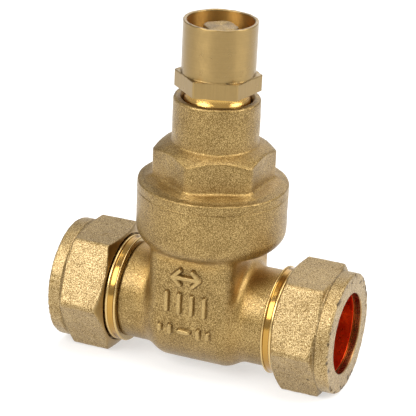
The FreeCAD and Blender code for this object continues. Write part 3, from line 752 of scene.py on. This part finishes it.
def machinedEnd(side):
    # turned ring, thread, mouth cone, pipe socket, pipe stop and waterway in one closed profile
    mouth, e = bodyHigh.x, ends
    ring, groove, thread = e["ring"], e["groove"], e["thread"]
    (first, firstEnd), (second, secondEnd) = e["lips"]
    skinFoot, ringFoot = e["skinEnd"]
    corners = [
        (12.0, e["skin"], 0, 0.0, 1, 4), (skinFoot, e["skin"], 0, 0.0, 1, 2),
        (skinFoot, e["shoulder"], 0, 0.05, 1), (ringFoot, e["shoulder"], 0, 0.05, 1),
        (ringFoot + 0.04, ring - 0.25, 0, 0.1, 1), (first, ring, 0, 0.2, 1),
        (firstEnd, ring, 0, 0.14, 1), (firstEnd + 0.14, groove, 0, 0.12, 1),
        (second - 0.14, groove, 0, 0.12, 1), (second, ring, 0, 0.14, 1),
        (secondEnd, ring, 0, 0.14, 1), (secondEnd + 0.14, groove, 0, 0.12, 1, 2),
        (e["ringEnd"], groove, 0, 0.12, 1, 2), (e["ringEnd"] + 0.1, e["undercut"], 0, 0.08, 1, 2),
        (e["threadStart"], e["undercut"], 0, 0.05, 1), (e["threadStart"] + 0.2, thread, 0, 0.05, 1),
        (mouth - 0.6, thread, 0, 0.05, 1), (mouth, thread - 0.4, 0, 0.1, 1, 2),
        (mouth, e["mouth"], 0, 0.1, 1, 3), (mouth - e["mouthDepth"], e["socket"], 0, 0.1, 1, 5),
        (e["pipeStop"], e["socket"], 0, 0.05, 1, 2), (e["pipeStop"], e["waterway"], 0, 0.15, 1, 5),
        (e["seat"], e["waterway"], 0, 0.1, 1, 3), (e["seat"], e["skin"], 0, 0.0, 1, 6)]
    rows = densePath(corners, e["step"])
    along, radius, _, polish = stations(rows)
    angle = aroundAngles(e["columns"])
    wind = np.cos(2 * math.pi * (along / e["pitch"] - angle / (2 * math.pi)))
    threaded = np.abs(radius - thread) < 0.001
    out = radius + np.where(threaded, e["threadHeight"] * wind - 0.02, 0)
    points = roundAxis(along, out, angle, "x" if side > 0 else "-x")
    zero = np.zeros(out.shape)
    # painted reflection tints the groove between the lips a deep gold, and painted shade gathers where
    # the ring meets the stub
    between = (along > first - 0.1) * (along < secondEnd + 0.06)
    fresh = np.clip((ring - 0.03 - radius) / 0.2, 0, 1) * between
    shade = 0.35 * np.exp(-((along - cast["stubEnd"]) / 0.07) ** 2) * (radius < ring - 0.12)
    piece("bodyEndRight" if side > 0 else "bodyEndLeft", points,
          gridFaces(*out.shape), endBrass, "valve_body", (),
          {"polish": zero + polish, "grime": zero + shade, "fresh": zero + fresh})


machinedEnd(1)
machinedEnd(-1)

# ---------- bonnet ----------

bonnet = {
    "collar": 14.03, "collarTop": 25.35, "hexFoot": 26.4, "flat": 10.15, "cornerSoftness": 0.8,
    "corner": 11.42, "flatTurn": -63.3, "neck": 8.05, "neckRound": 1.0,
    "screw": 9.3, "seatFoot": 23.71, "seat": 11.4,      # the screwed part and the seat on the head
    # inside: lead of the mouth, box for the packing, spindle collar's room, hole for the stem
    "lead": 6.85, "mouth": 6.2, "boxFloor": 35.0, "collarRoom": 5.05, "collarSeat": 27.5,
    "stemHole": 3.33, "cavityTop": 24.8,
    # height and radius of the dome over the hexagon
    "dome": ((20, 30), (30.4, 12.6), (31.15, 11.5), (32.04, 10.2), (32.6, 9.15), (33.1, 8.0), (60, 2)),
    "domeEnd": 33.6,
    "neckFoot": 33.1,
    "columns": 344, "step": 0.15,
}


def bonnetOutside(along, angle):
    # hexagon under a low dome that scallops its flats and meets the neck in a crisp corner
    b = bonnet
    hexagon = hexagonRadius(angle, b["flat"], math.radians(b["flatTurn"]), b["cornerSoftness"])
    hexagon = smoothMin(hexagon, b["corner"] + 0 * along, 0.25)
    heights, radii = zip(*b["dome"])
    dome = np.interp(along, heights, radii)
    return smoothMax(smoothMin(hexagon, dome, 0.22), b["neck"] + 0 * along, 0.3)


def bonnetForm():
    # a closed profile turned about the spindle axis, with the hexagon's radius where its share is 1
    b = bonnet
    top = bonnetHigh.z
    corners = [
        (bonnetLow.z, b["screw"], 0, 0.1, 1, 4), (bonnetLow.z, b["seat"] - 0.1, 0, 0.3, 1, 6),
        (b["seatFoot"], b["seat"], 0, 0.0, 1, 3),
        (b["seatFoot"] - 0.005, b["collar"] + 0.05, 0, 0.03, 0), (b["collarTop"], b["collar"], 0, 0.3, 0),
        (b["collarTop"] + 0.2, 13.0, 0, 0.5, 0), (b["hexFoot"] - 0.15, b["flat"] + 0.4, 0.9, 0.25, 0),
        (b["hexFoot"] + 0.15, b["flat"], 1, 0.15, 0), (b["domeEnd"], b["flat"], 1, 0.0, 0),
        (b["domeEnd"] + 0.3, b["neck"], 0, 0.0, 0), (top, b["neck"], 0, b["neckRound"], 0),
        (top, b["lead"], 0, 0.15, 0.5), (top - 0.55, b["lead"] - 0.35, 0, 0.2, 1),
        (top - 1.5, b["mouth"], 0, 0.1, 1, 5), (b["boxFloor"], b["mouth"], 0, 0.1, 1, 2),
        (b["boxFloor"], b["collarRoom"], 0, 0.1, 1, 6), (b["collarSeat"], b["collarRoom"], 0, 0.1, 1, 3),
        (b["collarSeat"], b["stemHole"], 0, 0.1, 1, 4), (b["cavityTop"], b["stemHole"], 0, 0.1, 1, 8),
        (b["cavityTop"], b["screw"], 0, 0.4, 1, 8)]
    rows = densePath(corners, b["step"])
    along, radius, share, polish = stations(rows)
    angle = aroundAngles(b["columns"])
    spread = bonnetOutside(along, angle) - b["flat"]
    out = radius + share * spread
    points = roundAxis(along, out, angle, "z")
    normal = gridNormals(points)
    middle = len(rows) // 4
    outward = 1 if np.sum(normal[middle] * points[middle] * (1, 1, 0)) > 0 else -1
    rough = np.broadcast_to((1 - polish) * (radius > 6.8), out.shape)
    bumps = 0.045 * softNoise(points, 1.9, 8) + 0.024 * softNoise(points, 0.5, 9)
    points = points + normal * (outward * rough * bumps)[..., None]
    # painted bounce light: the hexagon's foot and the corner under the neck take a warmer, brighter
    # colour
    foot = 0.28 * np.exp(-((along - b["hexFoot"] - 0.2) / 1.7) ** 2) * (radius > 9) * (along > 25.7)
    corner = 0.15 * np.exp(-((along - b["neckFoot"]) / 0.9) ** 2)
    piece("bonnet", points, gridFaces(*out.shape), bodyBrass, "valve_body", ("bonnet",),
          {"polish": 1 - rough, "warm": (foot + corner) * rough})


bonnetForm()

# ---------- gland nut with the shield cup ----------

gland = {
    "shank": 6.0, "shankTop": 40.0, "flare": 6.12, "flareTop": 41.35,
    "undercut": 5.62, "undercutFoot": 42.1, "flat": 6.95, "cornerSoftness": 0.12,
    "flatTurn": -72.1, "hexFoot": 43.2, "hexTop": 46.26, "cup": 6.825, "cupInner": 6.165,
    "bore": 3.4, "cupFloor": 46.6, "columns": 288, "step": 0.16,
}


def glandForm():
    # bottom up: shank, flare that fills the bonnet's mouth, neck, hexagon, thin-walled cup
    g = gland
    top, foot = glandHigh.z, glandLow.z
    corners = [
        (foot, g["bore"], 0, 0.1, 1, 4), (foot, g["shank"], 0, 0.3, 1, 6),
        (g["shankTop"], g["shank"], 0, 0.1, 1), (g["shankTop"] + 0.3, g["flare"], 0, 0.1, 1),
        (g["flareTop"], g["flare"], 0, 0.5, 1), (g["undercutFoot"], g["undercut"] + 0.12, 0, 0.8, 1),
        (g["hexFoot"], g["undercut"], 0, 0.12, 1),
        (g["hexFoot"], g["flat"], 1, 0.06, 1), (g["hexTop"], g["flat"], 1, 0.08, 1),
        (g["hexTop"], g["cup"] + 0.04, 0, 0.02, 1), (g["hexTop"] + 0.1, g["cup"], 0, 0.05, 1),
        (top, g["cup"], 0, 0.16, 1), (top, g["cupInner"], 0, 0.16, 1),
        (g["cupFloor"], g["cupInner"], 0, 0.2, 1, 2), (g["cupFloor"], g["bore"], 0, 0.1, 1, 6)]
    rows = densePath(corners, g["step"])
    along, radius, share, polish = stations(rows)
    angle = aroundAngles(g["columns"])
    hexagon = hexagonRadius(angle, g["flat"], math.radians(g["flatTurn"]), g["cornerSoftness"])
    out = radius + share * (hexagon - g["flat"])
    points = roundAxis(along, out, angle, "z")
    # small dents in the thin rim and burrs along the hexagon's upper edge
    dents = np.exp(-((along - top) / 0.35) ** 2) * softNoise(points, 1.1, 41)
    burrs = np.exp(-((along - g["hexTop"]) / 0.15) ** 2) * softNoise(points, 0.6, 43)
    points[..., 2] += 0.05 * dents + 0.05 * burrs
    points[..., :2] *= (1 + (0.03 * dents + 0.02 * burrs * share) / np.maximum(out, 1))[..., None]
    full = np.broadcast_to(polish, out.shape)
    # the inside of the cup, for its painted warm bounce and added roughness
    inCup = (radius < g["cup"] - 0.1) & (along > g["cupFloor"] - 0.1) & (along < top - 0.3)
    edge = np.clip(softNoise(points, 0.8, 47) * 2 - 0.7, 0, 1)
    grime = 0.75 * edge * np.exp(-((along - g["hexTop"] - 0.02) / 0.12) ** 2)
    # the flare under the hexagon: fresh-cut metal, brightened as a painted reflection
    fresh = (along < g["hexFoot"] - 0.1) * (radius > 5.3) + 0 * out
    piece("glandNut", points, gridFaces(*out.shape), glandBrass, "gland_nut", ("lockshield_nut",),
          {"polish": full, "grime": grime,
                             "milled": np.broadcast_to(share, out.shape), "fresh": fresh,
                             "inside": inCup + 0 * out})


glandForm()

# ---------- spindle ----------

spindle = {
    "screw": 2.6, "stemFoot": 24.5, "stem": 3.25, "collar": 4.9, "collarFrom": 27.55, "collarTo": 29.3,
    "square": 2.85, "driveStart": 48.0, "columns": 128, "step": 0.2,
}


def spindleForm():
    # screw, stem, collar and stem turned about the axis; the top runs into a square, whose radius
    # is half its width over the cosine of the angle from the nearest flat, cut at the stem's radius
    s = spindle
    top, foot = spindleHigh.z, spindleLow.z
    corners = [
        (foot, 0.0, 0, 0.0, 1, 3), (foot, s["screw"], 0, 0.2, 1, 3),
        (s["stemFoot"], s["screw"], 0, 0.05, 1), (s["stemFoot"], s["stem"], 0, 0.1, 1),
        (s["collarFrom"], s["stem"], 0, 0.1, 1), (s["collarFrom"], s["collar"], 0, 0.15, 1),
        (s["collarTo"], s["collar"], 0, 0.15, 1), (s["collarTo"], s["stem"], 0, 0.1, 1, 4),
        (s["driveStart"], s["stem"], 0, 0.0, 1), (s["driveStart"] + 0.4, s["square"], 1, 0.1, 1),
        (top, s["square"], 1, 0.25, 0.25), (top, 0.0, 0, 0.0, 0.25)]
    rows = densePath(corners, s["step"])
    # the profile runs from pole to pole, without the way back along the axis
    last = len(rows) - np.argmax(rows[::-1, 1] > 0)
    rows = rows[:last + 1]
    rows[-1, 1] = 0
    along, radius, share, polish = stations(rows)
    angle = aroundAngles(s["columns"])
    inside = np.abs(angle % (math.pi / 2) - math.pi / 4)
    square = smoothMin(s["square"] / np.cos(inside), np.full_like(inside, s["stem"]), 0.15)
    out = radius + share * (square - s["square"])
    points = roundAxis(along, out, angle, "z")
    full = np.broadcast_to(polish, out.shape)
    piece("spindle", points, gridFaces(*out.shape)[:-s["columns"]], glandBrass, "spindle",
          ("spindle",), {"polish": full, "grime": 0 * full}, poles=True)


spindleForm()

# ---------- hidden pieces keep their CAD shape ----------


def plainFinish(name, light, dark, metallic, size, roughness):
    # one grain sets the colour, the roughness and the bump
    f = Finish(name, metallic)
    grain = f.noise(size, 3.0, 0.6)
    return f.feed(Base_Color=f.mix(f.spread(grain, 0.3, 0.7), dark, light),
                  Roughness=f.spread(grain, 0.3, 0.7, roughness + 0.1, roughness),
                  Normal=f.bump(grain, 0.02))


hiddenFinishes = {
    "gateBrass": (plainFinish("gateBrass", (0.6, 0.42, 0.18), (0.42, 0.27, 0.1), 1.0, 0.3, 0.35),
                  ("wedge_gate", "gland_follower")),
    "redFibre": (plainFinish("redFibre", (0.32, 0.06, 0.03), (0.18, 0.03, 0.015), 0.0, 0.25, 0.75),
                 ("bonnet_gasket",)),
    "palePlastic": (plainFinish("palePlastic", (0.8, 0.79, 0.74), (0.7, 0.69, 0.64), 0.0, 0.4, 0.4),
                    ("thrust_washer",)),
    "darkYarn": (plainFinish("darkYarn", (0.05, 0.05, 0.05), (0.015, 0.015, 0.015), 0.0, 0.3, 0.55),
                 ("packing_ring_lower", "packing_ring_middle", "packing_ring_upper")),
}
for finish, nodes in hiddenFinishes.values():
    for node in nodes:
        shown = frame["nodes"][node]
        shown.data.materials.clear()
        shown.data.materials.append(finish)
print("hidden pieces finished")

# ---------- floor, light and camera ----------

studio = {
    "floor": (0.50, 0.50, 0.50),
    "floorGlow": 0.56,       # keeps the contact shadow faint
    "world": (1.0, 0.965, 0.91),
    "worldStrength": 0.55,
    "azimuth": 21.615, "elevation": 22.281, "roll": 2.720,
    "distance": 392.48, "lens": 179.18,
    "target": (-3.214, 6.093, 16.714),      # mm from the valve centre
    "lampTarget": 34,        # mm above the floor
    # name: azimuth, elevation, distance mm, size mm, power
    "lamps": {
        "keySoftbox": (-30, 36, 420, 260, 1.35),
        "rightSoftbox": (96, 36, 420, 260, 1.25),
        "topSoftbox": (30, 86, 420, 300, 1.0),
        "backSoftbox": (186, 30, 450, 320, 0.32),
    },
}


def aside(azimuth, elevation):
    # unit vector from the object to a place seen at an azimuth and elevation
    a, e = math.radians(azimuth), math.radians(elevation)
    return Vector((math.sin(a) * math.cos(e), -math.cos(a) * math.cos(e), math.sin(e)))


def makeFloor():
    size = 3.0
    mesh = bpy.data.meshes.new("floor")
    mesh.from_pydata([(-size, -size, 0), (size, -size, 0), (size, size, 0), (-size, size, 0)], [],
                     [(0, 1, 2, 3)])
    f = Finish("paleFloor", 0.0, Base_Color=(*studio["floor"], 1), Roughness=0.8,
               Emission_Color=(1, 1, 1, 1), Emission_Strength=studio["floorGlow"])
    mesh.materials.append(f.material)
    made = bpy.data.objects.new("floor", mesh)
    scene.collection.objects.link(made)


def makeLamps():
    # square softboxes that face a point halfway up the valve
    middle = Vector((0, 0, studio["lampTarget"])) * mm
    for name, (azimuth, elevation, distance, size, power) in studio["lamps"].items():
        data = bpy.data.lights.new(name, "AREA")
        data.shape, data.size, data.energy = "SQUARE", size * mm, power
        lamp = bpy.data.objects.new(name, data)
        way = aside(azimuth, elevation)
        lamp.location = middle + way * distance * mm
        lamp.rotation_euler = way.to_track_quat("Z", "Y").to_euler()
        scene.collection.objects.link(lamp)


def makeWorld():
    world = bpy.data.worlds.new("studioWorld")
    world.use_nodes = True
    shade = world.node_tree.nodes["Background"]
    shade.inputs["Color"].default_value = (*studio["world"], 1)
    shade.inputs["Strength"].default_value = studio["worldStrength"]
    scene.world = world


def makeCamera():
    # looks at the target from its azimuth and elevation, turned about its own axis by the roll
    data = bpy.data.cameras.new("camera")
    data.lens, data.sensor_width = studio["lens"], 36
    data.clip_start, data.clip_end = 0.01, 20
    camera = bpy.data.objects.new("camera", data)
    way = aside(studio["azimuth"], studio["elevation"])
    a, roll = math.radians(studio["azimuth"]), math.radians(studio["roll"])
    level = Vector((math.cos(a), math.sin(a), 0))
    upright = way.cross(level)
    right = level * math.cos(roll) + upright * math.sin(roll)
    up = way.cross(right)
    target = (Vector(studio["target"]) + Vector((0, 0, axisHeight))) * mm
    camera.matrix_world = Matrix.Translation(target + way * studio["distance"] * mm) @ Matrix(
        (right, up, way)).transposed().to_4x4()
    scene.collection.objects.link(camera)
    bpy.context.scene.camera = camera


makeFloor()
makeLamps()
makeWorld()
makeCamera()
scene.view_settings.view_transform = "Standard"
print("studio ready")
